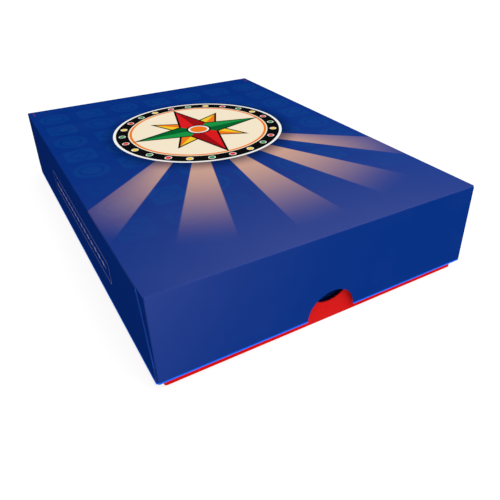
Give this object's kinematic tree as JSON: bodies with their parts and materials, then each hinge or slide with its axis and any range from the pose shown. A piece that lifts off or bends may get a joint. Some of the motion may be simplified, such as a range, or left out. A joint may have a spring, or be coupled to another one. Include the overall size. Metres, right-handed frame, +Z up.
{
  "type": "card game",
  "caption": "Card game in a flat carton box: lift-off lid with thumb notches over a folded tray that holds decks of cards in a board insert and a stapled rule booklet.",
  "frame": {"origin": "middle of the tray's underside, on the surface that the box rests on", "axes": "+Z up, X along the short side, Y along the long side, with the front end wall at -Y"},
  "size_m": [0.15, 0.21, 0.0431],
  "materials": {
    "lid_board": "satin print",
    "tray_board": "satin print",
    "insert_board": "uncoated board",
    "situation_card": "satin print",
    "red_card": "satin print",
    "yellow_card": "satin print",
    "green_card": "satin print",
    "cover_paper": "satin print",
    "page_paper": "uncoated paper",
    "staple_wire": "drawn wire"
  },
  "bodies": {
    "tray": {"tray": "tray_board", "card_insert": "insert_board"},
    "lid": {"lid": "lid_board"},
    "booklet": {"booklet_cover": "cover_paper", "booklet_sheet_1": "page_paper", "booklet_sheet_2": "page_paper", "booklet_sheet_3": "page_paper", "booklet_sheet_4": "page_paper", "booklet_sheet_5": "page_paper", "booklet_sheet_6": "page_paper", "front_staple": "staple_wire", "back_staple": "staple_wire"},
    "situation_deck": {"situation_cards": "situation_card"},
    "red_deck": {"red_cards": "red_card"},
    "yellow_deck": {"yellow_cards": "yellow_card"},
    "green_deck": {"green_cards": "green_card"}
  },
  "joints": [
    {"name": "lid_lift", "type": "slide", "parent": "tray", "child": "lid", "axis": [0, 0, 1], "range_m": [0, 0.18]},
    {"name": "booklet_lift", "type": "slide", "parent": "tray", "child": "booklet", "axis": [0, 0, 1], "range_m": [0, 0.1116]},
    {"name": "situation_lift", "type": "slide", "parent": "tray", "child": "situation_deck", "axis": [0, 0, 1], "range_m": [0, 0.0756]},
    {"name": "green_lift", "type": "slide", "parent": "tray", "child": "green_deck", "axis": [0, 0, 1], "range_m": [0, 0.0828]},
    {"name": "yellow_lift", "type": "slide", "parent": "tray", "child": "yellow_deck", "axis": [0, 0, 1], "range_m": [0, 0.0675]},
    {"name": "red_lift", "type": "slide", "parent": "tray", "child": "red_deck", "axis": [0, 0, 1], "range_m": [0, 0.0522]}
  ],
  "couplings": [
    {"joint": "booklet_lift", "follows": "lid_lift", "ratio": 0.62},
    {"joint": "situation_lift", "follows": "lid_lift", "ratio": 0.42},
    {"joint": "green_lift", "follows": "lid_lift", "ratio": 0.46},
    {"joint": "yellow_lift", "follows": "lid_lift", "ratio": 0.375},
    {"joint": "red_lift", "follows": "lid_lift", "ratio": 0.29}
  ]
}
